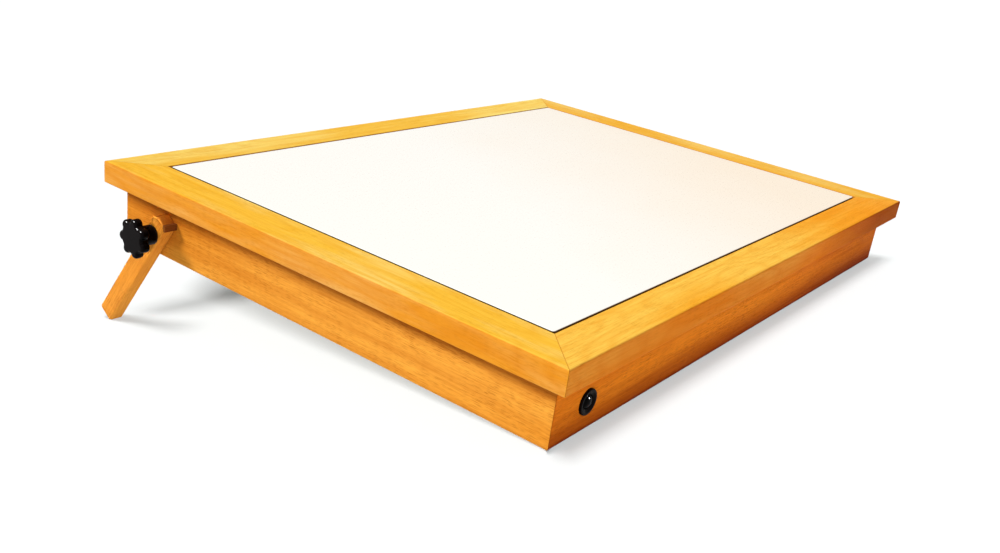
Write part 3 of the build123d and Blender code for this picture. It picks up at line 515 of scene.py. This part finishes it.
def floor():
    """Pale floor, slightly self-lit so that shadows on it stay as light as on a white sweep."""
    mesh = bpy.data.meshes.new("floor")
    corners = ((-1, -1), (1, -1), (1, 1), (-1, 1))
    points = [(x * FLOOR_REACH, y * FLOOR_REACH, 0.0) for x, y in corners]
    mesh.from_pydata(points, [], [(0, 1, 2, 3)])
    made = bpy.data.objects.new("floor", mesh)
    bpy.context.scene.collection.objects.link(made)
    s = Shader("floor_white")
    s.set(Base_Color=rgba(0.246, 0.25, 0.251), Roughness=0.9, Specular_IOR_Level=0.0)
    s.set(Emission_Color=rgba(0.90, 1.0, 1.0), Emission_Strength=FLOOR_GLOW)
    mesh.materials.append(s.material)
    made.location.z = CAD_BOX[0].z - FLOOR_DROP
    return made


WORLD_LIGHT = 0.52
WORLD_BACKDROP = 1.05


def world_light():
    """Even white surroundings, dimmer as a light than as a backdrop."""
    world = bpy.data.worlds.new("studio")
    bpy.context.scene.world = world
    world.use_nodes = True
    tree = world.node_tree
    light = tree.nodes["Background"]
    backdrop = tree.nodes.new("ShaderNodeBackground")
    for background, strength in ((light, WORLD_LIGHT), (backdrop, WORLD_BACKDROP)):
        background.inputs["Color"].default_value = rgba(*WHITE)
        background.inputs["Strength"].default_value = strength
    seen = tree.nodes.new("ShaderNodeLightPath").outputs["Is Camera Ray"]
    choice = tree.nodes.new("ShaderNodeMixShader")
    tree.links.new(seen, choice.inputs[0])
    tree.links.new(light.outputs[0], choice.inputs[1])
    tree.links.new(backdrop.outputs[0], choice.inputs[2])
    tree.links.new(choice.outputs[0], tree.nodes["World Output"].inputs["Surface"])


def sun(name, energy, spread, towards, colour, receivers, blockers=None):
    """A soft distant light that shines from the given direction onto the receivers only. Where
    blockers are given, only they cast its shadow."""
    data = bpy.data.lights.new(name, "SUN")
    data.energy = energy
    data.angle = math.radians(spread)
    data.color = colour
    lamp = bpy.data.objects.new(name, data)
    set_lamp(lamp, Vector(towards), receivers)
    if blockers is not None:
        lamp.light_linking.blocker_collection = gathered(f"{name}_shade", blockers)


def softbox(name, power, size, target, offset, receivers):
    """A square lamp that hangs off a point, aims at it, and lights the receivers only."""
    data = bpy.data.lights.new(name, "AREA")
    data.energy = power
    data.size = size
    lamp = bpy.data.objects.new(name, data)
    lamp.location = target + offset
    set_lamp(lamp, offset, receivers)


def set_lamp(lamp, towards, receivers):
    """Turn a lamp so that it shines from a direction, and link it to the objects that it lights."""
    lamp.rotation_euler = towards.to_track_quat("Z", "Y").to_euler()
    bpy.context.scene.collection.objects.link(lamp)
    lamp.light_linking.receiver_collection = gathered(f"{lamp.name}_lit", receivers)


def gathered(name, objects):
    """A collection of the given objects, for light linking."""
    group = bpy.data.collections.new(name)
    for made in objects:
        group.objects.link(made)
    return group


NEAR_SIDE = ("top_left_rail", "box_left_board", "base_board")
FAR_SIDES = (
    "top_front_rail", "top_right_rail", "top_rear_rail",
    "box_front_board", "box_right_board", "box_rear_board",
    "left_leg", "right_leg", "right_knob",
)
GLINT_DISTANCE = 1.4


def picked(*names):
    return [NODES[name] for name in names]


def lamps(ground):
    """Window light from the rear left on the light box, two broad lights that leave soft grey shadows
    on the floor, a fill on the legs, and two small lamps for the highlights on the black plastic."""
    sun("key", 3.1, 14, (-0.62, 0.42, 0.66), (1.0, 0.985, 0.95), NODES.values())
    sun("floor_side", 8.0, 12, (-0.723, -0.41, 0.556), WHITE, [ground], picked(*NEAR_SIDE))
    sun("floor_top", 5.3, 20, (-0.20, -0.15, 1.0), WHITE, [ground], picked(*FAR_SIDES))
    sun("leg_fill", 1.1, 20, (-0.10, -0.90, 0.30), (1.0, 0.92, 0.80), picked("left_leg", "right_leg"))
    above_left = GLINT_DISTANCE * Vector((-0.66, 0.10, 0.745))
    below_right = GLINT_DISTANCE * Vector((0.65, -0.75, 0.10))
    knobs = picked("left_knob", "right_knob")
    softbox("top_glint", 480.0, 0.45, centre("left_knob"), above_left, knobs)
    softbox("low_glint", 110.0, 0.20, centre("button_cap"), below_right, picked("button_cap"))


def centre(name):
    """The middle of a node's box."""
    low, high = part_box(name)
    return (Vector(low) + Vector(high)) / 2


# the camera, in metres, degrees and millimetres
CAMERA_PLACE = (-0.85896, -0.60449, 0.30773)
CAMERA_TURN = (74.222, -0.219, -52.7456)
FOCAL_LENGTH = 37.309
SENSOR_WIDTH = 36.0


def camera():
    """The camera, low at the front left."""
    data = bpy.data.cameras.new("camera")
    data.lens = FOCAL_LENGTH
    data.sensor_width = SENSOR_WIDTH
    data.clip_start = 0.01
    data.clip_end = 200.0
    made = bpy.data.objects.new("camera", data)
    made.location = CAMERA_PLACE
    made.rotation_euler = Euler([math.radians(angle) for angle in CAMERA_TURN], "XYZ")
    bpy.context.scene.collection.objects.link(made)
    bpy.context.scene.camera = made


dress_top_frame()
dress_box()
dress_legs()
dress_light()
dress_electrics()
dress_controls()
world_light()
lamps(floor())
camera()
bpy.context.scene.view_settings.view_transform = "Standard"
